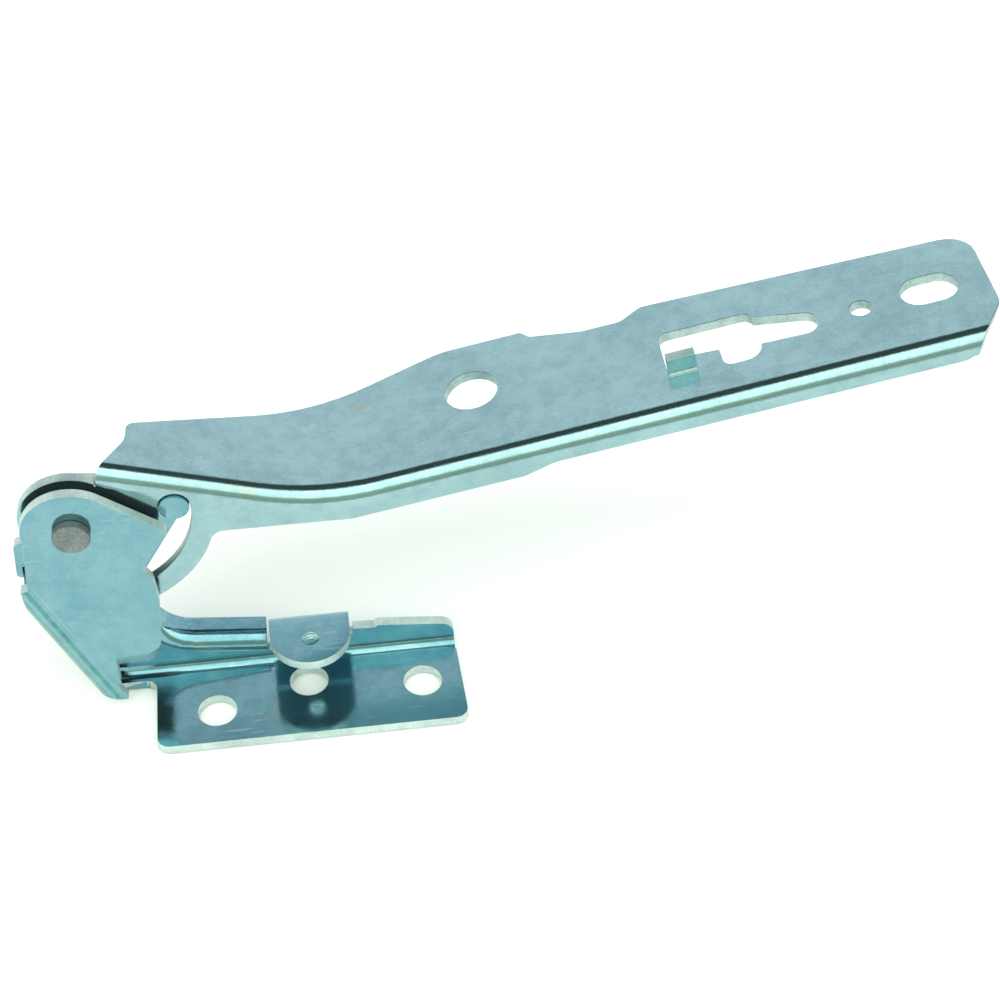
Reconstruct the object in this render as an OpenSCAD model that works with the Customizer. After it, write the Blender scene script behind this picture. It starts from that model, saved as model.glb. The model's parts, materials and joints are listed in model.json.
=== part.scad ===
// Car bonnet hinge: a folded steel bracket that bolts to the body, and a folded
// arm that carries the bonnet and turns on one pivot rivet.
// The origin is the centre of the left base bolt hole, on the mounting face.

/* [Sheet] */
// Thickness of the bracket's steel sheet
bracket_t = 3; // [2:0.1:4]
// Thickness of the arm's steel sheet
arm_t = 3; // [2:0.1:4]
// Outer radius of the arm's long fold
arm_fold_r = 4.8; // [4.2:0.1:6]

/* [Base flange] */
// Length of the base flange along the wall
base_len = 87; // [78:1:120]
// Depth from the wall's front face to the front edge
base_depth = 28.5; // [24:0.5:36]
// Corner radius of the base flange
base_corner_r = 3.5; // [1:0.5:8]
// Diameter of the three base bolt holes
base_bolt_d = 11; // [6:0.1:13]
// Distance from the left hole to the flange's left edge
base_hole_edge = 16.9; // [12:0.1:22]
// Distance from the left hole forward to the front edge
base_hole_front = 11.3; // [8:0.1:14]
// Middle hole, distance right of the left hole
middle_hole_x = 26.2; // [20:0.1:34]
// Middle hole, distance behind the left hole
middle_hole_y = 7.6; // [0:0.1:8]
// Distance from the right hole to the flange's right edge
right_hole_edge = 11.7; // [9:0.1:20]
// Right hole, distance behind the left hole
right_hole_y = 3.4; // [0:0.1:8]
// Inner radius of the fold between base and wall
base_fold_r = 3; // [1:0.1:5]

/* [Wall] */
// Height of the wall's right end above the base
wall_end_h = 7.4; // [6:0.1:12]
// Height of the wall beside the tab, above the base
wall_mid_h = 9.7; // [8:0.1:14]
// Fall of the backward lip towards the tab, in degrees
lip_fall = 7; // [0:0.5:10]
// Depth of the backward lip from the wall's front face
lip_depth = 8.9; // [7:0.1:14]
// Outer radius of the lip's fold
lip_fold_r = 4.5; // [4:0.1:6]
// Radius of the lip's concave sweep up to the ear
lip_sweep_r = 12; // [8:0.5:16]

/* [Threaded tab] */
// Width of the forward tab
tab_w = 22.6; // [16:0.1:26]
// Height of the tab's top above the base
tab_h = 16.8; // [14:0.1:22]
// Reach of the tab in front of the wall's front face
tab_reach = 17.4; // [14:0.1:24]
// Core diameter of the tab's threaded hole
tab_thread_d = 5; // [3:0.1:6.8]
// Distance of the threaded hole in front of the wall
tab_hole_reach = 8.6; // [6:0.1:12]

/* [Pivot] */
// Height of the pivot above the mounting face
pivot_h = 71.3; // [66:0.1:80]
// Distance of the pivot to the left of the left hole
pivot_back = 30.3; // [26:0.1:36]
// Radius of the front ear round the pivot
ear_r = 13; // [11.5:0.1:14]
// Radius of the back ear round the pivot
back_ear_r = 8.8; // [8.2:0.1:11]
// Radius of the arm's end round the pivot
arm_end_r = 13.9; // [12.5:0.1:14.2]
// Clear space between the two ears
ear_gap = 7.4; // [6.8:0.1:10]
// Diameter of the rivet's shank
rivet_d = 8; // [6:0.1:9]
// Diameter of the rivet's front head
rivet_head_d = 9.8; // [9.2:0.1:14]
// Diameter of the rivet's back head
rivet_back_d = 12; // [11:0.1:15]
// Height of the rivet's front head
rivet_head_h = 2.6; // [1:0.1:4]
// Height of the rivet's back head
rivet_back_h = 2.4; // [1:0.1:4]
// Wall of the pivot bush
bush_wall = 1.2; // [0.8:0.1:1.8]
// Diameter of the bush's collar
bush_collar_d = 15; // [13:0.1:18]
// Running clearance on the rivet, on the radius
rivet_clearance = 0.05; // [0.02:0.01:0.09]
// End clearance of the bush at each ear
end_clearance = 0.15; // [0.1:0.05:0.3]

/* [Stop] */
// Radius of the stop slot's centre line about the pivot
slot_r = 26.5; // [24:0.1:28]
// Diameter of the stop pin in the slot
stop_pin_d = 8; // [5:0.1:8.4]
// Clearance of the stop pin in the slot, each side
slot_clearance = 0.2; // [0.1:0.05:0.4]
// Angle of the stop pin above the base's plane
stop_pin_angle = 2.8; // [0:0.1:5]
// Opening angle of the arm
open_angle = 62; // [45:1:66]
// Outer radius of the arm's slotted tail
tail_r = 36.8; // [34.5:0.1:38]
// Diameter of the stop pin's riveted neck
stop_neck_d = 5; // [3:0.1:6]
// Diameter of the stop pin's riveted head, behind the ear
stop_head_d = 7; // [6.5:0.1:8]
// Height of the stop pin's riveted head
stop_head_h = 1.4; // [1:0.1:2]

/* [Arm] */
// Fall of the arm's short run towards the knee, in degrees
short_run_tilt = 17.5; // [14:0.5:20]
// Rise of the arm's long run, in degrees
long_run_tilt = 12; // [8:0.5:14]
// Radius of the knee between the two runs, on the top face
knee_r = 62; // [40:1:80]
// Knee point to the right of the pivot
knee_x = 64.3; // [60:0.1:70]
// Knee point below the pivot
knee_drop = 1.95; // [0:0.05:3]
// Length of the arm from the pivot to its free end
arm_reach = 246.3; // [238:0.1:280]
// Depth of the side flange beyond the step
side_depth = 6.7; // [5.5:0.1:8]
// Depth of the side flange before the step
side_depth_deep = 9; // [8.5:0.1:12]
// Width of the top flange at the free end, from the side face
flange_w = 41.8; // [38:0.1:50]
// How far the free end is cut back at the side face
end_cut = 9; // [6:0.1:10]
// Where that cut-back starts, from the side face
end_cut_from = 12; // [8:0.1:14]

/* [Holes in the arm] */
// Round bonnet hole, diameter
bonnet_hole_d = 14.6; // [10:0.1:16]
// Bonnet hole, distance from the knee along the arm
bonnet_hole_x = 44.6; // [38:0.1:52]
// Bonnet hole, distance from the side face
bonnet_hole_y = 28.4; // [26:0.1:31]
// Keyed cut-out, distance of its left end from the arm's free end
keyed_end = 88.9; // [80:0.1:92]
// Keyed cut-out, distance of its back edge from the side face
keyed_back = 31.8; // [30:0.1:33]
// Small locating hole, diameter
locating_hole_d = 6; // [4:0.1:8]
// Locating hole, distance from the arm's free end
locating_hole_end = 34.8; // [32:0.1:40]
// Locating hole, distance from the side face
locating_hole_y = 22.6; // [16:0.1:28]
// Long hole, width
long_hole_w = 11; // [8:0.1:12]
// Long hole, length
long_hole_len = 15.5; // [13:0.1:18]
// Long hole, distance of its centre from the arm's free end
long_hole_end = 15.9; // [13:0.1:18]
// Long hole, distance from the side face
long_hole_y = 23.5; // [16:0.1:28]

/* [Hidden] */
$fn = 96;
corner_steps = 6;
fold_steps = 8;
keep = 0.02;

// Places of the bracket
wall_y = base_depth - base_hole_front;
pivot = [-pivot_back, pivot_h];
base_top = bracket_t - pivot_h;
ear_y = wall_y - ear_gap - bracket_t;
arm_y = ear_y + bracket_t + (ear_gap - arm_t) / 2;
fold_top = base_top + base_fold_r;
base_left = pivot_back - base_hole_edge;
base_right = base_left + base_len;

// The ears are joined along a line that leans down to the right
slope_lean = 21.3;
slope_out = [-cos(slope_lean), -sin(slope_lean)];
slope_along = [sin(slope_lean), -cos(slope_lean)];
web_out_r = ear_gap / 2 + bracket_t;
web_reach = 20.8;
web_end_x = -16.5;

// Places of the arm, measured from the pivot
knee = [knee_x, -knee_drop];
knee_half = (short_run_tilt + long_run_tilt) / 2;
knee_tangent = knee_r * tan(knee_half);
knee_up = 90 + (long_run_tilt - short_run_tilt) / 2;
knee_centre = knee + knee_r / cos(knee_half) * [cos(knee_up), sin(knee_up)];
slot_w = stop_pin_d + 2 * slot_clearance;
slot_end_angle = stop_pin_angle - open_angle;
stop_at = slot_r * [cos(stop_pin_angle), sin(stop_pin_angle)];
slot_end = slot_r * [cos(slot_end_angle), sin(slot_end_angle)];
bush_d = rivet_d + 2 * rivet_clearance + 2 * bush_wall;
run_len = (arm_reach - knee_x) / cos(long_run_tilt);
keyed_left = run_len - keyed_end;
right_hole_x = base_len - base_hole_edge - right_hole_edge;
bolt_holes = [[0, 0], [middle_hole_x, middle_hole_y], [right_hole_x, right_hole_y]];
ear_lean = 51;
ear_bottom = -49.5;
web_top = -20;
web_from = 13.3;
web_low = -67.5;
tongue_x = 4.4;
tongue_z = -61;
strip_w = 0.8;
wall_right = base_right - 1.1;
stop_lobe_r = stop_neck_d / 2 + 2.2;
tab_fold_r = 5;
tab_mid = 58;
tab_left = tab_mid - tab_w / 2;
tab_right = tab_mid + tab_w / 2;
tab_fold_z = base_top + tab_h - tab_fold_r;
tab_relief_z = base_top + 7.3;
relief_w = 0.9;
lip_right = tab_left - relief_w;
lip_joint = [25.5, base_top + 10.9];
lip_centre = lip_joint + lip_sweep_r * [sin(lip_fall), cos(lip_fall)];
lip_start = -150;
tail_from = -17;
side_low = -9.4;
side_end = end_cut + 0.4;
step_at = 54;
fold_left = 7.4;
upstand_y = 14.8;
upstand_h = 5.4;
upstand_len = 7.8;

// Height of the wall's top edges, from the pivot
function lip_low(x) = lip_joint[1] - lip_fold_r / cos(lip_fall) - (x - lip_joint[0]) * tan(lip_fall);
function wall_slope(x) = base_top + wall_end_h + (wall_right - x) * tan(7);

// Corner of an outline: [x, y, radius] between its two neighbours
function unit(v) = v / norm(v);
function xy(p) = [p[0], p[1]];
function arc_points(c, r, a0, a1, n) = [for (i = [0 : n]) c + r * [cos(a0 + (a1 - a0) * i / n), sin(a0 + (a1 - a0) * i / n)]];
function short_turn(a) = a > 180 ? a - 360 : (a < -180 ? a + 360 : a);
function corner_arc(p, a, b, r) =
    let (u = unit(a - p), v = unit(b - p), half = acos(u * v) / 2)
    let (c = p + unit(u + v) * r / sin(half), reach = r / tan(half))
    let (s = p + u * reach - c, e = p + v * reach - c)
    let (a0 = atan2(s[1], s[0]), turn = short_turn(atan2(e[1], e[0]) - a0))
    arc_points(c, r, a0, a0 + turn, corner_steps);
function rounded(pts) = [
    for (i = [0 : len(pts) - 1])
        let (p = pts[i], a = pts[(i + len(pts) - 1) % len(pts)], b = pts[(i + 1) % len(pts)])
        each (p[2] > 0 ? corner_arc(xy(p), xy(a), xy(b), p[2]) : [xy(p)])
];

// Points in the opposite order, so an outline runs anticlockwise
function turned(pts) = [for (i = [len(pts) - 1 : -1 : 0]) pts[i]];

// Points measured from the pivot are put in the part's frame
module at_pivot() {
    translate([pivot[0], 0, pivot[1]]) children();
}

// An outline in x and z becomes a plate from y to y + t
module plate(y, t) {
    translate([0, y + t, 0]) rotate([90, 0, 0]) linear_extrude(t) children();
}

// A round bar or hole along y
module along_y(y, len, d) {
    translate([0, y + len, 0]) rotate([90, 0, 0]) cylinder(h = len, d = d);
}

// A sheet that follows a path and turns down in front in a round fold, in flat facets.
// Each station of the path is [x, z, angle of the face's normal].
module folded_edge(stations, width, leg, r, t) {
    turn = [for (i = [0 : fold_steps]) 180 - 90 * i / fold_steps];
    outer = concat([[0, -leg]], [for (a = turn) [r + r * cos(a), -r + r * sin(a)]], [[width, 0]]);
    inner = concat([[t, -leg]], [for (a = turn) [r + (r - t) * cos(a), -r + (r - t) * sin(a)]], [[width, -t]]);
    k = len(outer);
    ring = 2 * k;
    last = (len(stations) - 1) * ring;
    points = [
        for (f = stations) for (q = concat(outer, inner)) [f[0] + q[1] * cos(f[2]), q[0], f[1] + q[1] * sin(f[2])]
    ];
    polyhedron(points, concat(
        [for (i = [0 : ring : last - ring]) for (j = [0 : k - 2]) [i + j, i + j + 1, i + ring + j + 1, i + ring + j]],
        [for (i = [k : ring : last - ring + k]) for (j = [0 : k - 2]) [i + j, i + ring + j, i + ring + j + 1, i + j + 1]],
        [for (i = [0 : ring : last - ring]) [i, i + ring, i + ring + k, i + k]],
        [for (i = [k - 1 : ring : last - ring + k - 1]) [i, i + k, i + ring + k, i + ring]],
        [for (j = [0 : k - 2]) [j, j + k, j + k + 1, j + 1]],
        [for (j = [0 : k - 2]) [last + j, last + j + 1, last + j + k + 1, last + j + k]]
    ));
}

// Stations round a hollow bend about c
function bend_stations(c, r, a0, a1, n) = [
    for (i = [0 : n]) let (a = a0 + (a1 - a0) * i / n) [c[0] + r * cos(a), c[1] + r * sin(a), a + 180]
];

// An outline of y and height carried along a straight run
module run(p, angle, from, to) {
    translate([p[0], 0, p[1]]) rotate([0, -angle, 0]) translate([from, 0, 0])
        rotate([90, 0, 90]) linear_extrude(to - from) children();
}

// Half or quarter of a bend, as a ring cut by a square
module quarter_ring(c, r, t, right, up) {
    intersection() {
        translate(c) difference() {
            circle(r);
            circle(r - t);
        }
        translate([right ? c[0] : c[0] - r, up ? c[1] : c[1] - r]) square(r);
    }
}

// Where the web's bend starts, at a height from the pivot
function web_start(z) = (web_reach - z * slope_out[1]) / slope_out[0];

// Outline of the front ear, from the pivot
module front_ear_outline() {
    tangent = (ear_r - keep) * [cos(ear_lean), sin(ear_lean)];
    circle(ear_r);
    polygon(turned(rounded([
        [0, 0, 0],
        [tangent[0], tangent[1], 0],
        [24.4, -2.9, 1.6],
        [16.3, -16.4, 1],
        [18.4, -20.5, 3],
        [19, -29, 8],
        [17, ear_bottom, 5],
        [tongue_x, ear_bottom, 1.5],
        [tongue_x, tongue_z, 0],
        [web_start(tongue_z), tongue_z, 0],
        [web_start(web_top), web_top, 0],
        [-ear_r + 0.4, 0, 0]
    ])));
}

// Outline of the back ear and the wall, one plate, from the pivot
module wall_outline() {
    lean = stop_pin_angle + acos((back_ear_r - stop_lobe_r) / slot_r);
    top = [cos(lean), sin(lean)];
    side = [cos(-35), sin(-35)];
    circle(back_ear_r);
    translate(stop_at) circle(stop_lobe_r);
    polygon(turned(concat(
        [[-3, 2], (back_ear_r - keep) * top, stop_at + (stop_lobe_r - keep) * top],
        [stop_at, stop_at + (stop_lobe_r - keep) * side],
        [[15.5, -26.5], [14.8, -33], [15.4, -44], lip_centre + lip_sweep_r * [cos(lip_start), sin(lip_start)]],
        arc_points(lip_centre, lip_sweep_r + lip_fold_r, lip_start, -90 - lip_fall, 8),
        [[lip_right, lip_low(lip_right)], [tab_left, lip_low(lip_right)], [tab_left, tab_fold_z]],
        [[tab_right, tab_fold_z], [tab_right, tab_relief_z], [tab_right + relief_w, tab_relief_z]],
        [[tab_right + relief_w, base_top + wall_mid_h - 0.4], [76.4, base_top + wall_mid_h - 0.6]],
        [[77.6, base_top + wall_mid_h + 0.2]],
        rounded([[90, wall_slope(90), 0], [wall_right, wall_slope(wall_right), 4], [wall_right, fold_top, 0]]),
        [[web_start(fold_top), fold_top], [web_start(web_top), web_top], [-13.2, -9], [-back_ear_r + 0.3, 0]]
    )));
    polygon(rounded([[-12, -11, 0], [-17.6, -13, 1.5], [-18.6, -25, 1.5], [-12, -26, 0]]));
}

// The base flange, its fold and the wall's plate with the back ear
module base_flange() {
    front = -base_hole_front;
    back = wall_y - base_fold_r;
    difference() {
        translate([0, 0, -pivot_h]) linear_extrude(bracket_t) polygon(rounded([
            [1, back, 0],
            [1, back - strip_w, 0],
            [base_left, back - strip_w, 3],
            [base_left, front, base_corner_r],
            [base_right, front, base_corner_r],
            [base_right - 0.8, back, 0]
        ]));
        for (h = bolt_holes)
            translate([pivot_back + h[0], h[1], -pivot_h - 1]) cylinder(h = bracket_t + 2, d = base_bolt_d);
    }
    translate([1, 0, base_top]) rotate([90, 0, 90]) linear_extrude(wall_right - 1)
        quarter_ring([back, base_fold_r], base_fold_r + bracket_t, bracket_t, true, false);
}

// The web that joins the ears: one round bend along the slope
module web() {
    r = web_out_r;
    intersection() {
        rotate([0, 180 - slope_lean, 0]) translate([0, 0, web_from]) linear_extrude(80) {
            quarter_ring([web_reach, ear_y + r], r, bracket_t, true, true);
            quarter_ring([web_reach, ear_y + r], r, bracket_t, true, false);
            for (y = [ear_y, wall_y]) translate([web_reach - 1.5, y]) square([1.5, bracket_t]);
        }
        translate([web_end_x, ear_y - 1, web_low]) cube([60, 2 * r + 2, pivot_h]);
    }
}

// The lip folded back from the wall's top, swept up to the ear and then straight
module lip() {
    end = [lip_right, lip_joint[1] - (lip_right - lip_joint[0]) * tan(lip_fall), 90 - lip_fall];
    translate([0, wall_y, 0]) folded_edge(
        concat(bend_stations(lip_centre, lip_sweep_r, lip_start - 1, -90 - lip_fall, 8), [end]),
        lip_depth, lip_fold_r + 1, lip_fold_r, bracket_t
    );
}

// The forward tab with its threaded hole
module tab() {
    r = tab_fold_r;
    top = base_top + tab_h;
    back = wall_y - (r - bracket_t);
    tip = wall_y - tab_reach + tab_w / 2;
    translate([tab_left, 0, 0]) rotate([90, 0, 90]) linear_extrude(tab_w)
        quarter_ring([back, top - r], r, bracket_t, true, true);
    difference() {
        translate([0, 0, top - bracket_t]) linear_extrude(bracket_t) {
            translate([tab_left, tip]) square([tab_w, back - tip]);
            intersection() {
                translate([tab_mid, tip]) circle(tab_w / 2);
                translate([tab_left - 1, tip - tab_w]) square([tab_w + 2, tab_w + 0.5]);
            }
        }
        translate([tab_mid, wall_y - tab_hole_reach, top - bracket_t - 1])
            cylinder(h = bracket_t + 2, d = tab_thread_d);
    }
}

// The bracket: base, wall, both ears and the web, folded from one sheet
module bracket() {
    color([0.62, 0.76, 0.78]) at_pivot() difference() {
        union() {
            base_flange();
            plate(wall_y, bracket_t) wall_outline();
            plate(ear_y, bracket_t) front_ear_outline();
            web();
            lip();
            tab();
        }
        along_y(ear_y - 1, ear_gap + 2 * bracket_t + 2, rivet_d);
        translate([stop_at[0], 0, stop_at[1]]) along_y(wall_y - 1, bracket_t + 2, stop_neck_d);
    }
}

// Points on the arm's two runs: distance from the knee, and height over the top face
function long_run(s, h) = knee + s * [cos(long_run_tilt), sin(long_run_tilt)]
    + h * [-sin(long_run_tilt), cos(long_run_tilt)];
function short_run(s, h) = knee + s * [-cos(short_run_tilt), sin(short_run_tilt)]
    + h * [sin(short_run_tilt), cos(short_run_tilt)];

// Height of the fold's lower edge along the short run
function short_low(x) = knee[1] + (knee[0] - x) * tan(short_run_tilt) - arm_fold_r / cos(short_run_tilt);

// A wedge from the pivot, wide enough for the tail
module wedge(a0, a1) {
    mid = (a0 + a1) / 2;
    polygon([[0, 0], 60 * [cos(a0), sin(a0)], 70 * [cos(mid), sin(mid)], 60 * [cos(a1), sin(a1)]]);
}

// The slotted tail, from the pivot
module tail_outline() {
    end_r = tail_r - slot_r;
    lean = slot_end_angle - acos((arm_end_r - end_r) / slot_r);
    side = [cos(lean), sin(lean)];
    circle(arm_end_r);
    translate(slot_end) circle(end_r);
    intersection() {
        circle(tail_r);
        wedge(slot_end_angle, tail_from);
    }
    polygon([[3, 2], (arm_end_r - keep) * side, slot_end + (end_r - keep) * side, slot_end]);
}

// Outline of the arm's side plate, below the long fold
module side_outline() {
    end = (arm_reach - side_end - knee_x) / cos(long_run_tilt);
    tail_edge = (tail_r - 0.8) * [cos(tail_from - 12), sin(tail_from - 12)];
    low = -side_depth_deep;
    join = (-knee_drop - side_low + low * cos(long_run_tilt)) / -sin(long_run_tilt);
    r = arm_fold_r;
    difference() {
        union() {
            tail_outline();
            polygon(rounded([
                [0, 0, 0],
                [tail_edge[0], tail_edge[1], 0],
                [tail_r - 0.6, side_low, 4],
                [long_run(join, low)[0], side_low, 12],
                concat(long_run(step_at, low), 6),
                concat(long_run(step_at + 8.5, -side_depth), 6),
                concat(long_run(end, -side_depth), 4),
                concat(long_run(end, 0), 0),
                concat(long_run(end, 20), 0),
                [knee_x, 45, 0],
                [fold_left, short_low(fold_left), 0]
            ]));
        }
        translate(knee_centre) circle(knee_r + r);
        polygon([
            [fold_left, short_low(fold_left)], short_run(knee_tangent, -r), knee_centre,
            long_run(knee_tangent, -r), long_run(260, -r), long_run(260, 60), [fold_left, 60]
        ]);
    }
}

// The stop slot, one arc about the pivot
module slot_outline() {
    intersection() {
        difference() {
            circle(slot_r + slot_w / 2);
            circle(slot_r - slot_w / 2);
        }
        wedge(slot_end_angle, stop_pin_angle);
    }
    translate(slot_end) circle(d = slot_w);
    translate(stop_at) circle(d = slot_w);
}

// Outline of the top flange seen from above: x from the pivot, y from the side face
module flange_outline() {
    w = flange_w;
    polygon(turned(rounded([
        [fold_left, -1, 0],
        [fold_left + 0.6, 1, 0],
        [15.2, 14, 9],
        [15.6, 20.6, 3],
        [101, w + 5.2, 25],
        [124, w + 5.2, 1.5],
        [126, w + 2.6, 2],
        [140, w - 0.6, 8],
        [151, w - 0.6, 5],
        [157, w + 3.4, 4],
        [arm_reach, w, 8],
        [arm_reach, end_cut_from, 7],
        [arm_reach - end_cut, -1, 0]
    ])));
}

// The keyed cut-out, from its left end: two slots with a wide mouth between them
module keyed_outline() {
    back = keyed_back;
    polygon(rounded([[0, back - 10.4, 2], [19, back - 11.8, 0], [19, back, 0], [0, back, 2.5]]));
    polygon(rounded([[15, back - 18.2, 2.5], [26, back - 18.2, 5], [26, back, 3], [15, back, 3]]));
    polygon(rounded([[23, back - 13.2, 0], [42.2, back - 13.8, 3.8], [42.2, back - 6.2, 3.8], [23, back - 1.8, 0]]));
    translate([0, upstand_y + arm_t]) square([upstand_len + 0.2, back - upstand_y - arm_t - 8]);
}

// Section of the small upstand at the cut-out's near edge
module upstand_section() {
    polygon([
        [upstand_y - 0.6, -0.5],
        [upstand_y + arm_t, -0.5],
        [upstand_y + arm_t, upstand_h],
        [upstand_y, upstand_h],
        [upstand_y, 0.8],
        [upstand_y - 0.6, 0.15]
    ]);
}

// The arm: side plate, long fold and top flange, folded from one sheet
module arm() {
    color([0.57, 0.70, 0.73]) at_pivot() translate([0, arm_y, 0]) difference() {
        union() {
            plate(0, arm_t) side_outline();
            intersection() {
                arm_fold();
                translate([0, 0, -40]) linear_extrude(120) flange_outline();
            }
            run(knee, long_run_tilt, keyed_left + 0.1, keyed_left + 0.1 + upstand_len) upstand_section();
        }
        plate(-1, arm_t + 1.5) {
            circle(d = bush_d);
            slot_outline();
        }
        on_long_run() {
            translate([keyed_left, 0, -10]) linear_extrude(20) keyed_outline();
            translate([bonnet_hole_x, bonnet_hole_y, -10]) cylinder(h = 20, d = bonnet_hole_d);
            translate([run_len - locating_hole_end, locating_hole_y, -10]) cylinder(h = 20, d = locating_hole_d);
            translate([run_len - long_hole_end, long_hole_y, -10]) linear_extrude(20) long_hole_outline();
        }
    }
}

// The long hole: two round ends and the strip between them
module long_hole_outline() {
    half = (long_hole_len - long_hole_w) / 2;
    for (x = [-half, half]) translate([x, 0]) circle(d = long_hole_w);
    translate([-half, -long_hole_w / 2]) square([2 * half, long_hole_w]);
}

// The frame of the long run: x from the knee along the top face, z off it
module on_long_run() {
    translate([knee[0], 0, knee[1]]) rotate([0, -long_run_tilt, 0]) children();
}

// The long fold with its flange: short run, hollow knee and long run
module arm_fold() {
    start = short_run(70, 0);
    end = long_run(run_len + 4, 0);
    folded_edge(
        concat(
            [[start[0], start[1], 90 - short_run_tilt]],
            bend_stations(knee_centre, knee_r, -90 - short_run_tilt, -90 + long_run_tilt, 8),
            [[end[0], end[1], 90 + long_run_tilt]]
        ),
        flange_w + 12, arm_fold_r + 1, arm_fold_r, arm_t
    );
}

// The pivot rivet: round head in front, shank, and a closed head behind
module pivot_rivet() {
    color([0.55, 0.55, 0.53]) at_pivot() {
        along_y(ear_y - rivet_head_h, rivet_head_h, rivet_head_d);
        along_y(ear_y, ear_gap + 2 * bracket_t, rivet_d);
        along_y(wall_y + bracket_t, rivet_back_h, rivet_back_d);
    }
}

// The bush pressed into the arm, with a collar that spaces the arm off the front ear
module pivot_bush() {
    from = ear_y + bracket_t + end_clearance;
    color([0.72, 0.62, 0.38]) at_pivot() difference() {
        union() {
            along_y(from, arm_y - from, bush_collar_d);
            along_y(from, ear_gap - 2 * end_clearance, bush_d);
        }
        along_y(from - 1, ear_gap + 2, rivet_d + 2 * rivet_clearance);
    }
}

// The washer between the arm and the back ear
module thrust_washer() {
    from = arm_y + arm_t;
    color([0.60, 0.62, 0.62]) at_pivot() difference() {
        along_y(from, wall_y - end_clearance - from, bush_collar_d);
        along_y(from - 1, ear_gap, bush_d);
    }
}

// The stop pin: stands on the back ear, through the arm's slot
module stop_pin() {
    front = arm_y - 0.8;
    color([0.58, 0.68, 0.70]) at_pivot() translate([stop_at[0], 0, stop_at[1]]) {
        along_y(front, wall_y - front, stop_pin_d);
        along_y(wall_y, bracket_t, stop_neck_d);
        along_y(wall_y + bracket_t, stop_head_h, stop_head_d);
    }
}

bracket();
arm();
pivot_rivet();
pivot_bush();
thrust_washer();
stop_pin();
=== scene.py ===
import bpy
import json
from math import radians
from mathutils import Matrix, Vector
from mathutils.bvhtree import BVHTree


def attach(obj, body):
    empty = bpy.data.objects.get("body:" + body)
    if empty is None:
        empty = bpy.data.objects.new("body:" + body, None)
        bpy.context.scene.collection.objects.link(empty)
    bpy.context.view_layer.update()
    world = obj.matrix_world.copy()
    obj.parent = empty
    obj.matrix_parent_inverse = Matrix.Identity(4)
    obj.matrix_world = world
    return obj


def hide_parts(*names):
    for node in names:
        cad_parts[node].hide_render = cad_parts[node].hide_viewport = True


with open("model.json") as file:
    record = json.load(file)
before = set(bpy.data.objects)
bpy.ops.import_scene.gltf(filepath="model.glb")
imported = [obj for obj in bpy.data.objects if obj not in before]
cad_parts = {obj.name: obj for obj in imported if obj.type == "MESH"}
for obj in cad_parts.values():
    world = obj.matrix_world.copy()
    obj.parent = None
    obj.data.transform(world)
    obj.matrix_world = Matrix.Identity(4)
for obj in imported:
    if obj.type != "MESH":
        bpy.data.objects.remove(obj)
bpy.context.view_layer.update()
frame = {"nodes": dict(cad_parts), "record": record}

mm = 0.001
grainDepth = 0.02 * mm
thickest = 4.2 * mm      # a face with more steel behind it than this is a cut edge
smoothAngle = radians(32)


def deselectAll():
    if bpy.context.object and bpy.context.object.mode != "OBJECT":
        bpy.ops.object.mode_set(mode="OBJECT")
    bpy.ops.object.select_all(action="DESELECT")


def pick(piece):
    deselectAll()
    bpy.context.view_layer.objects.active = piece
    piece.select_set(True)


def link(tree, a, b):
    tree.links.new(a, b)


# Shader groups
def newGroup(name, inputs, outputs):
    group = bpy.data.node_groups.new(name, "ShaderNodeTree")
    for label, kind, value in inputs:
        socket = group.interface.new_socket(label, in_out="INPUT", socket_type=kind)
        socket.default_value = value
    for label, kind in outputs:
        group.interface.new_socket(label, in_out="OUTPUT", socket_type=kind)
    return group, group.nodes.new("NodeGroupInput"), group.nodes.new("NodeGroupOutput")


def noise(tree, vector, scale, detail, rough=0.5):
    n = tree.nodes.new("ShaderNodeTexNoise")
    n.inputs["Scale"].default_value = scale
    n.inputs["Detail"].default_value = detail
    n.inputs["Roughness"].default_value = rough
    link(tree, vector, n.inputs["Vector"])
    return n.outputs["Fac"]


def ramp(tree, value, low, high):
    n = tree.nodes.new("ShaderNodeMapRange")
    n.interpolation_type = "SMOOTHSTEP"
    n.inputs["From Min"].default_value = low
    n.inputs["From Max"].default_value = high
    link(tree, value, n.inputs["Value"])
    return n.outputs["Result"]


def mixColour(tree, factor, a, b, mode="MIX"):
    n = tree.nodes.new("ShaderNodeMix")
    n.data_type = "RGBA"
    n.blend_type = mode
    if isinstance(factor, float):
        n.inputs[0].default_value = factor
    else:
        link(tree, factor, n.inputs[0])
    for place, colour in ((6, a), (7, b)):
        if isinstance(colour, tuple):
            n.inputs[place].default_value = colour
        else:
            link(tree, colour, n.inputs[place])
    return n.outputs[2]


def maths(tree, how, a, b):
    n = tree.nodes.new("ShaderNodeMath")
    n.operation = how
    for place, value in ((0, a), (1, b)):
        if isinstance(value, float):
            n.inputs[place].default_value = value
        else:
            link(tree, value, n.inputs[place])
    return n.outputs[0]


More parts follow.
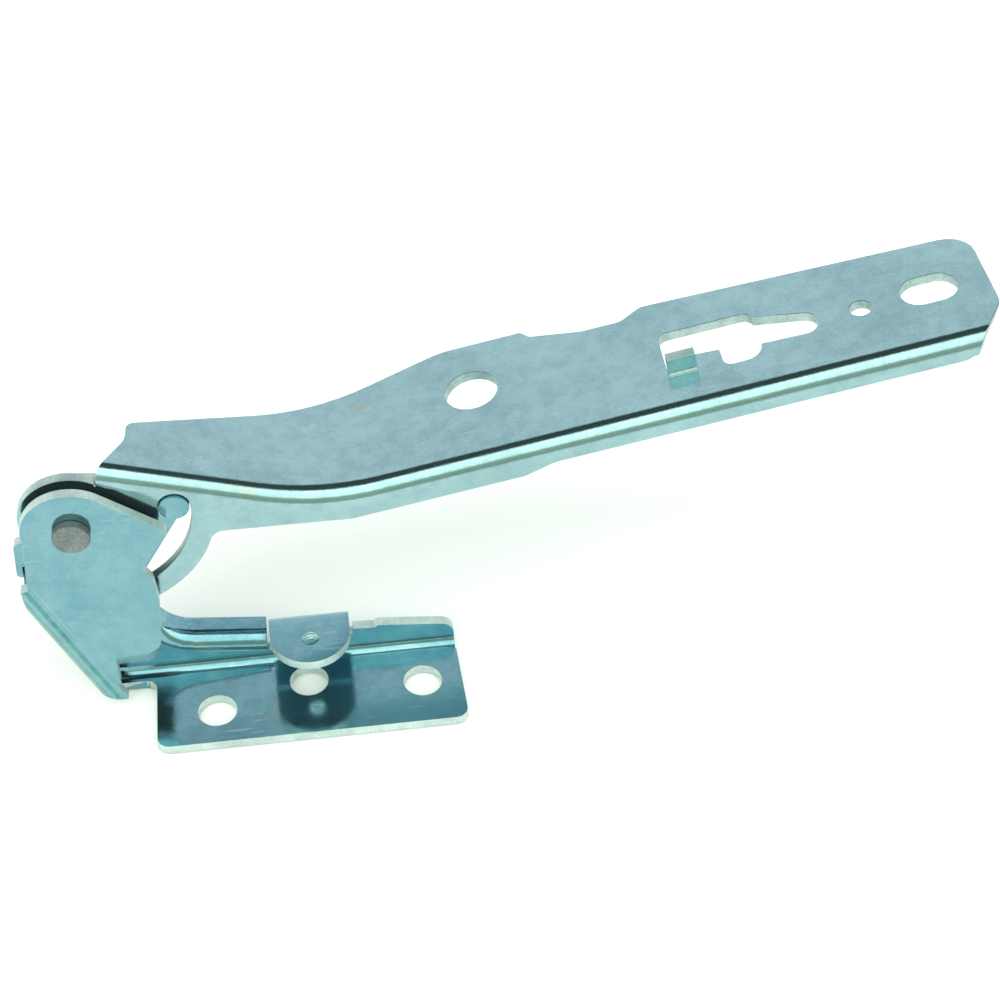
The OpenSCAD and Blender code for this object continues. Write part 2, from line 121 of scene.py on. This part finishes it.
# Cloudy zinc plating: soft patches, fine speckle and a few dull spots
def buildPlating():
    group, gin, gout = newGroup("zincPlating", [
        ("Light", "NodeSocketColor", (0.5, 0.6, 0.62, 1)),
        ("Deep", "NodeSocketColor", (0.3, 0.42, 0.46, 1)),
        ("Stain", "NodeSocketColor", (0.4, 0.42, 0.38, 1)),
        ("Cloud", "NodeSocketFloat", 0.5),
        ("Speckle", "NodeSocketFloat", 0.3),
    ], [("Colour", "NodeSocketColor"), ("Patch", "NodeSocketFloat"), ("Height", "NodeSocketFloat")])
    coords = group.nodes.new("ShaderNodeTexCoord").outputs["Object"]
    big = ramp(group, noise(group, coords, 45, 4, 0.6), 0.35, 0.68)
    mid = ramp(group, noise(group, coords, 220, 5, 0.65), 0.38, 0.66)
    fine = ramp(group, noise(group, coords, 1600, 3, 0.6), 0.42, 0.62)
    cloud = maths(group, "MULTIPLY", maths(group, "ADD", big, mid), gin.outputs["Cloud"])
    speck = maths(group, "MULTIPLY", fine, gin.outputs["Speckle"])
    patch = maths(group, "MINIMUM", maths(group, "ADD", cloud, speck), 1.0)
    base = mixColour(group, patch, gin.outputs["Light"], gin.outputs["Deep"])
    spots = ramp(group, noise(group, coords, 95, 2, 0.5), 0.66, 0.76)
    stained = mixColour(group, maths(group, "MULTIPLY", spots, 0.6), base, gin.outputs["Stain"])
    link(group, stained, gout.inputs["Colour"])
    link(group, patch, gout.inputs["Patch"])
    link(group, maths(group, "ADD", mid, fine), gout.inputs["Height"])
    return group


# Fine scratches that run along one direction
def buildScratches():
    group, gin, gout = newGroup("handlingScratches", [
        ("Amount", "NodeSocketFloat", 0.3),
        ("Turn", "NodeSocketFloat", 0.0),
    ], [("Mask", "NodeSocketFloat")])
    coords = group.nodes.new("ShaderNodeTexCoord").outputs["Object"]
    turned = group.nodes.new("ShaderNodeVectorRotate")
    turned.rotation_type = "Y_AXIS"
    link(group, coords, turned.inputs["Vector"])
    link(group, gin.outputs["Turn"], turned.inputs["Angle"])
    stretched = group.nodes.new("ShaderNodeMapping")
    stretched.inputs["Scale"].default_value = (0.05, 1, 1)
    link(group, turned.outputs[0], stretched.inputs["Vector"])
    lines = ramp(group, noise(group, stretched.outputs[0], 1500, 2, 0.5), 0.63, 0.72)
    where = ramp(group, noise(group, coords, 60, 3, 0.5), 0.45, 0.6)
    marks = maths(group, "MULTIPLY", maths(group, "MULTIPLY", lines, where), gin.outputs["Amount"])
    link(group, marks, gout.inputs["Mask"])
    return group


plating = buildPlating()
scratches = buildScratches()


def placeGroup(tree, group, values):
    n = tree.nodes.new("ShaderNodeGroup")
    n.node_tree = group
    for label, value in values.items():
        n.inputs[label].default_value = value
    return n


# Finishes: plated sheet, its cut edges (on the arm darkened as painted shade), painted shade for the
# bracket's bend, and the small turned pieces
def platedSteel(name, look):
    finish = bpy.data.materials.new(name)
    finish.use_nodes = True
    tree = finish.node_tree
    shader = tree.nodes["Principled BSDF"]
    shades = {key: look[key] for key in ("Light", "Deep", "Stain", "Cloud", "Speckle")}
    zinc = placeGroup(tree, plating, shades)
    marks = placeGroup(tree, scratches, {"Amount": look["scratch"], "Turn": radians(look["turn"])})
    colour = mixColour(tree, marks.outputs["Mask"], zinc.outputs["Colour"], look["bare"])
    link(tree, colour, shader.inputs["Base Color"])
    shine = tree.nodes.new("ShaderNodeMapRange")
    shine.inputs["To Min"].default_value = look["gloss"][0]
    shine.inputs["To Max"].default_value = look["gloss"][1]
    link(tree, zinc.outputs["Patch"], shine.inputs["Value"])
    link(tree, shine.outputs["Result"], shader.inputs["Roughness"])
    bump = tree.nodes.new("ShaderNodeBump")
    bump.inputs["Strength"].default_value = look["grain"]
    bump.inputs["Distance"].default_value = grainDepth
    link(tree, zinc.outputs["Height"], bump.inputs["Height"])
    link(tree, bump.outputs["Normal"], shader.inputs["Normal"])
    shader.inputs["Metallic"].default_value = look["metal"]
    return finish


armFace = platedSteel("armPlating", {
    "Light": (0.33, 0.505, 0.54, 1), "Deep": (0.245, 0.385, 0.43, 1), "Stain": (0.32, 0.40, 0.36, 1),
    "Cloud": 0.42, "Speckle": 0.28, "scratch": 0.25, "turn": 12, "bare": (0.72, 0.80, 0.80, 1),
    "gloss": (0.11, 0.20), "grain": 0.18, "metal": 0.95,
})
bracketFace = platedSteel("bracketPlating", {
    "Light": (0.225, 0.405, 0.465, 1), "Deep": (0.135, 0.305, 0.375, 1), "Stain": (0.26, 0.37, 0.36, 1),
    "Cloud": 0.40, "Speckle": 0.22, "scratch": 0.3, "turn": 0, "bare": (0.70, 0.80, 0.82, 1),
    "gloss": (0.07, 0.18), "grain": 0.14, "metal": 0.95,
})
cutEdge = platedSteel("shearedEdge", {
    "Light": (0.62, 0.72, 0.70, 1), "Deep": (0.38, 0.48, 0.48, 1), "Stain": (0.40, 0.42, 0.38, 1),
    "Cloud": 0.40, "Speckle": 0.35, "scratch": 0.5, "turn": 90, "bare": (0.85, 0.90, 0.88, 1),
    "gloss": (0.30, 0.48), "grain": 0.5, "metal": 0.6,
})
# A darker copy of the sheared-edge finish for the arm's cut edges: painted shade standing for the shade
# in the arm's hole walls
armEdgePaintedShade = platedSteel("armShearedEdgeShaded", {
    "Light": (0.46, 0.57, 0.56, 1), "Deep": (0.24, 0.34, 0.35, 1), "Stain": (0.34, 0.38, 0.34, 1),
    "Cloud": 0.40, "Speckle": 0.35, "scratch": 0.4, "turn": 90, "bare": (0.70, 0.78, 0.76, 1),
    "gloss": (0.30, 0.48), "grain": 0.4, "metal": 0.75,
})
# Darker copy of the bracket plating, not a different coating: painted shade and painted dark reflection
# along the bracket's bend
bendPaintedShadeFace = platedSteel("paintedBendShade", {
    "Light": (0.13, 0.36, 0.35, 1), "Deep": (0.06, 0.20, 0.20, 1), "Stain": (0.10, 0.20, 0.16, 1),
    "Cloud": 0.45, "Speckle": 0.3, "scratch": 0.6, "turn": 68, "bare": (0.40, 0.66, 0.62, 1),
    "gloss": (0.14, 0.28), "grain": 0.3, "metal": 0.95,
})
threadFace = platedSteel("threadedWall", {
    "Light": (0.72, 0.86, 0.84, 1), "Deep": (0.40, 0.54, 0.54, 1), "Stain": (0.10, 0.14, 0.14, 1),
    "Cloud": 0.4, "Speckle": 0.3, "scratch": 0.2, "turn": 0, "bare": (0.80, 0.88, 0.86, 1),
    "gloss": (0.12, 0.25), "grain": 0.2, "metal": 0.95,
})
rivetFinish = platedSteel("formedRivet", {
    "Light": (0.23, 0.26, 0.26, 1), "Deep": (0.14, 0.155, 0.16, 1), "Stain": (0.20, 0.18, 0.15, 1),
    "Cloud": 0.5, "Speckle": 0.4, "scratch": 0.2, "turn": 45, "bare": (0.55, 0.56, 0.54, 1),
    "gloss": (0.38, 0.6), "grain": 0.6, "metal": 0.8,
})
bushFinish = platedSteel("bushBronze", {
    "Light": (0.46, 0.40, 0.27, 1), "Deep": (0.26, 0.22, 0.14, 1), "Stain": (0.10, 0.10, 0.09, 1),
    "Cloud": 0.5, "Speckle": 0.3, "scratch": 0.2, "turn": 0, "bare": (0.66, 0.60, 0.46, 1),
    "gloss": (0.35, 0.5), "grain": 0.3, "metal": 0.9,
})
washerFinish = platedSteel("washerSteel", {
    "Light": (0.50, 0.52, 0.52, 1), "Deep": (0.30, 0.32, 0.33, 1), "Stain": (0.20, 0.19, 0.17, 1),
    "Cloud": 0.5, "Speckle": 0.3, "scratch": 0.2, "turn": 0, "bare": (0.70, 0.70, 0.70, 1),
    "gloss": (0.3, 0.45), "grain": 0.3, "metal": 0.9,
})
print("finishes made")


# How deep the steel is behind each face: the sheet's own faces are thin, its cut edges are deep
def sheetThickness(piece):
    mesh = piece.data
    mesh.calc_loop_triangles()
    tree = BVHTree.FromPolygons([v.co for v in mesh.vertices], [t.vertices for t in mesh.loop_triangles])
    thin = [0.0] * len(mesh.polygons)
    for part in mesh.loop_triangles:
        middle = sum((mesh.vertices[corner].co for corner in part.vertices), Vector()) / 3
        depth = tree.ray_cast(middle - part.normal * 0.02 * mm, -part.normal)[3] or 1.0
        thin[part.polygon_index] += part.area if depth < thickest else -part.area
    return thin


# Sheet faces take the first finish and cut edges the second; the thread has its own, and on the bracket's
# bend a darker plating is painted shade, with a band of faces left at the lighter plating as a painted
# highlight line
def finishFaces(piece, dress):
    for face, thin in zip(piece.data.polygons, sheetThickness(piece)):
        face.material_index = 0 if thin > 0 else 1
        if "bend" in dress and thin > 0:
            outward = face.normal.dot(dress["bend"]["facing"])
            # Bend faces turned outward get the painted shade; those with outward between 0.2 and 0.42
            # keep the lighter plating as a painted highlight line
            inBendShade = outward > 0.05 and not 0.2 < outward < 0.42
            if inBendShade and face.center.x < dress["bend"]["leftOf"]:
                face.material_index = 2
        if "tap" in dress and abs(face.normal.z) < 0.5:
            if (face.center - dress["tap"]["centre"]).length < dress["tap"]["reach"]:
                face.material_index = 3


# The tapped hole's grooves are cut by a ridged bar, drawn up ring by ring and then taken away
def cutThread(piece, tap):
    deselectAll()
    foot = tap["centre"] - Vector((0, 0, 0.5 * tap["length"] + tap["pitch"]))
    bpy.ops.mesh.primitive_circle_add(
        vertices=tap["facets"], radius=tap["crest"], fill_type="NGON", location=foot)
    bar = bpy.context.object
    bpy.ops.object.mode_set(mode="EDIT")
    bpy.ops.mesh.select_all(action="SELECT")
    rise = [(tap["pitch"], 1.0)]
    out = (0.5 * tap["pitch"], tap["root"] / tap["crest"])
    back = (0.5 * tap["pitch"], tap["crest"] / tap["root"])
    rise += [out, back] * round(tap["length"] / tap["pitch"])
    for step, grow in rise + [(tap["pitch"], 1.0)]:
        bpy.ops.mesh.extrude_region_move(TRANSFORM_OT_translate={"value": (0, 0, step)})
        bpy.ops.transform.resize(value=(grow, grow, 1), center_override=tap["centre"])
    bpy.ops.mesh.select_all(action="SELECT")
    bpy.ops.mesh.normals_make_consistent(inside=False)
    bpy.ops.object.mode_set(mode="OBJECT")
    bar.data.materials.append(threadFace)
    pick(piece)
    grooves = piece.modifiers.new("threadGrooves", "BOOLEAN")
    grooves.operation = "DIFFERENCE"
    grooves.solver = "EXACT"
    grooves.material_mode = "TRANSFER"
    grooves.object = bar
    bpy.ops.object.modifier_apply(modifier=grooves.name)
    pick(bar)
    bpy.ops.object.delete()
    pick(piece)


# A merged copy with its sharp edges broken stands for the loose triangles of the node
def dressedCopy(node, dress):
    source = frame["nodes"][node]
    piece = source.copy()
    piece.data = source.data.copy()
    piece.name = dress["name"]
    piece.parent = None
    for key in list(piece.keys()):
        del piece[key]
    bpy.context.scene.collection.objects.link(piece)
    pick(piece)
    bpy.ops.object.mode_set(mode="EDIT")
    bpy.ops.mesh.select_mode(type="VERT")
    bpy.ops.mesh.select_all(action="SELECT")
    bpy.ops.mesh.remove_doubles(threshold=dress["merge"])
    bpy.ops.mesh.dissolve_limited(angle_limit=radians(dress["flat"]))
    if dress["split"]:
        bpy.ops.mesh.quads_convert_to_tris(quad_method="BEAUTY", ngon_method="BEAUTY")
    bpy.ops.mesh.normals_make_consistent(inside=False)
    bpy.ops.object.mode_set(mode="OBJECT")
    piece.data.materials.clear()
    for finish in dress["finishes"]:
        piece.data.materials.append(finish)
    if len(dress["finishes"]) > 1:
        finishFaces(piece, dress)
    rounding = piece.modifiers.new("brokenEdges", "BEVEL")
    rounding.width = dress["round"]
    rounding.segments = 2
    rounding.limit_method = "ANGLE"
    rounding.angle_limit = radians(dress["sharp"])
    rounding.harden_normals = False
    rounding.use_clamp_overlap = dress["clamp"]
    bpy.ops.object.modifier_apply(modifier=rounding.name)
    if "tap" in dress:
        cutThread(piece, dress["tap"])
    bpy.ops.object.shade_smooth_by_angle(angle=smoothAngle)
    evened = piece.modifiers.new("evenNormals", "WEIGHTED_NORMAL")
    evened.keep_sharp = True
    evened.weight = 80
    bpy.ops.object.modifier_apply(modifier=evened.name)
    deselectAll()
    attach(piece, dress["body"])
    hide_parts(node)


mounts = {mount["name"]: Vector(mount["pos_m"]) for mount in frame["record"]["mounts"]}
bracketDress = {
    "name": "bracketSheet", "body": "fixed_bracket", "slot": "bracket_steel",
    "merge": 0.001 * mm, "flat": 0.3, "round": 0.12 * mm, "sharp": 34, "clamp": False, "split": True,
    "finishes": [bracketFace, cutEdge, bendPaintedShadeFace, threadFace],
    # where the painted bend shade goes: faces turned towards facing, left of leftOf
    "bend": {"facing": Vector((-0.932, 0, -0.363)), "leftOf": -0.022},
    "tap": {
        "centre": mounts["tab_hole"], "length": 3.0 * mm, "pitch": 1.0 * mm,
        "crest": 2.44 * mm, "root": 2.95 * mm, "facets": 48, "reach": 3.1 * mm,
    },
}
armDress = {
    "name": "armSheet", "body": "swing_arm", "slot": "arm_steel",
    "merge": 0.001 * mm, "flat": 0.3, "round": 0.22 * mm, "sharp": 34, "clamp": False, "split": False,
    "finishes": [armFace, armEdgePaintedShade],
}
rivetDress = {
    "name": "rivetBody", "body": "fixed_bracket", "slot": "rivet_steel",
    "merge": 0.01 * mm, "flat": 0.5, "round": 0.45 * mm, "sharp": 34, "clamp": True, "split": False,
    "finishes": [rivetFinish],
}
stopDress = {
    "name": "stopPinBody", "body": "fixed_bracket", "slot": "bracket_steel",
    "merge": 0.01 * mm, "flat": 0.5, "round": 0.3 * mm, "sharp": 34, "clamp": True, "split": False,
    "finishes": [bracketFace],
}
dressedCopy("bracket", bracketDress)
dressedCopy("arm", armDress)
dressedCopy("pivot_rivet", rivetDress)
dressedCopy("stop_pin", stopDress)
print("sheets and pins dressed")

for node, finish in (("pivot_bush", bushFinish), ("thrust_washer", washerFinish)):
    frame["nodes"][node].data.materials.clear()
    frame["nodes"][node].data.materials.append(finish)
print("bush and washer dressed")


# Studio: white floor, soft lamps that the steel doesn't mirror, and a banded sky that it does
studio = {
    "floorSize": 6.0, "floorDrop": 0.6 * mm, "floorColour": (0.95, 0.95, 0.95, 1), "floorRough": 0.9,
    "lamps": {
        "key": {"place": (-0.9, -1.0, 1.0), "size": 0.9, "power": 4.0},
        "fill": {"place": (1.2, -0.8, 0.9), "size": 0.9, "power": 3.0},
        "top": {"place": (0.1, 0.1, 1.6), "size": 1.8, "power": 9.5},
    },
    "skyStrength": 1.0,
    "sky": [
        (0.00, (1.02, 1.08, 1.07, 1)), (0.25, (1.02, 1.08, 1.09, 1)), (0.288, (0.74, 0.80, 0.82, 1)),
        (0.31, (0.01, 0.02, 0.02, 1)), (0.52, (0.01, 0.02, 0.02, 1)), (0.56, (2.40, 2.60, 2.30, 1)),
        (0.78, (2.10, 2.35, 2.00, 1)), (0.84, (0.62, 0.74, 0.55, 1)), (0.96, (0.50, 0.60, 0.45, 1)),
        (1.00, (0.80, 0.85, 0.82, 1)),
    ],
}

deselectAll()
bpy.ops.mesh.primitive_plane_add(size=studio["floorSize"], location=(0, 0, -studio["floorDrop"]))
floor = bpy.context.object
floor.name = "studioFloor"
floorFinish = bpy.data.materials.new("paleFloor")
floorFinish.use_nodes = True
paint = floorFinish.node_tree.nodes["Principled BSDF"]
paint.inputs["Base Color"].default_value = studio["floorColour"]
paint.inputs["Roughness"].default_value = studio["floorRough"]
floor.data.materials.append(floorFinish)

aim = Vector((0.08, 0.02, 0.05))     # the lamps point at the middle of the hinge
for label, lamp in studio["lamps"].items():
    bpy.ops.object.light_add(type="AREA", location=lamp["place"])
    light = bpy.context.object
    light.name = label + "Light"
    light.data.size = lamp["size"]
    light.data.energy = lamp["power"]
    light.visible_glossy = False
    light.rotation_euler = (aim - Vector(lamp["place"])).to_track_quat("-Z", "Y").to_euler()

# The sky runs from the horizon behind, over the top, to the horizon in front: pale, dark, softbox, dim
world = bpy.data.worlds.new("softSky")
bpy.context.scene.world = world
world.use_nodes = True
sky = world.node_tree
backdrop = sky.nodes["Background"]
backdrop.inputs["Strength"].default_value = studio["skyStrength"]
towards = sky.nodes.new("ShaderNodeSeparateXYZ")
link(sky, sky.nodes.new("ShaderNodeTexCoord").outputs["Generated"], towards.inputs[0])
height = maths(sky, "ABSOLUTE", towards.outputs["Z"], 0.0)
turn = maths(sky, "DIVIDE", maths(sky, "ARCTAN2", height, towards.outputs["Y"]), radians(180))
bands = sky.nodes.new("ShaderNodeValToRGB")
bands.color_ramp.interpolation = "EASE"
while len(bands.color_ramp.elements) < len(studio["sky"]):
    bands.color_ramp.elements.new(0.5)
for stop, (place, colour) in zip(bands.color_ramp.elements, studio["sky"]):
    stop.position = place
    stop.color = colour
link(sky, turn, bands.inputs[0])
link(sky, bands.outputs[0], backdrop.inputs["Color"])

view = {
    "place": (0.0341, -0.3473, 0.4206), "turn": (radians(45.45), 0, radians(-7.56)),
    "lens": 68.4, "sensor": 36, "nearest": 0.01,
}
bpy.ops.object.camera_add(location=view["place"], rotation=view["turn"])
camera = bpy.context.object
camera.name = "photoCamera"
camera.data.lens = view["lens"]
camera.data.sensor_width = view["sensor"]
camera.data.clip_start = view["nearest"]
bpy.context.scene.camera = camera
bpy.context.scene.view_settings.view_transform = "Standard"
print("studio set")
